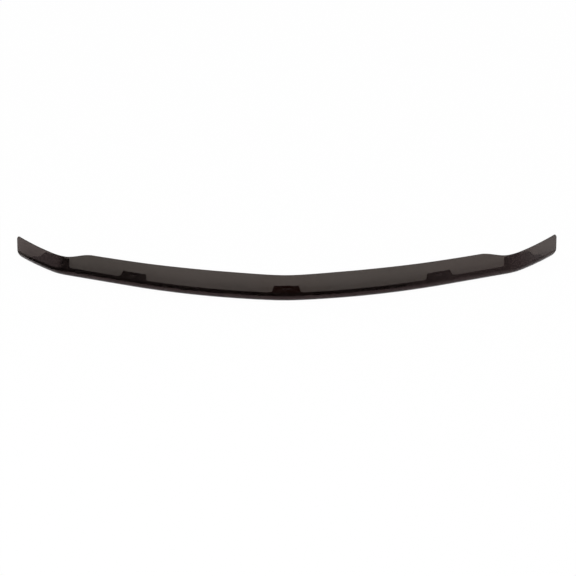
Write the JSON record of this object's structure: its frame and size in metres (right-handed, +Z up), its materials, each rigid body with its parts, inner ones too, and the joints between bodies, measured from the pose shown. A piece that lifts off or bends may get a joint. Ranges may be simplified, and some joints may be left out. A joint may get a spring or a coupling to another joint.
{
  "type": "hood bug deflector",
  "caption": "Long bowed shield bent from one smoked acrylic sheet, with a leaning blade, a narrow flange and slotted mounting tabs.",
  "frame": {"origin": "middle of the bounding box in X and Y, on the plane of the flange's underside", "axes": "+Z up, square to the flange; +X along the shield, to the right as the picture shows it; +Y from the blade back over the hood"},
  "size_m": [1.4042, 0.2638, 0.0656],
  "materials": {
    "smoked_acrylic": "gloss"
  },
  "bodies": {
    "root": {"deflector_shield": "smoked_acrylic"}
  },
  "joints": []
}
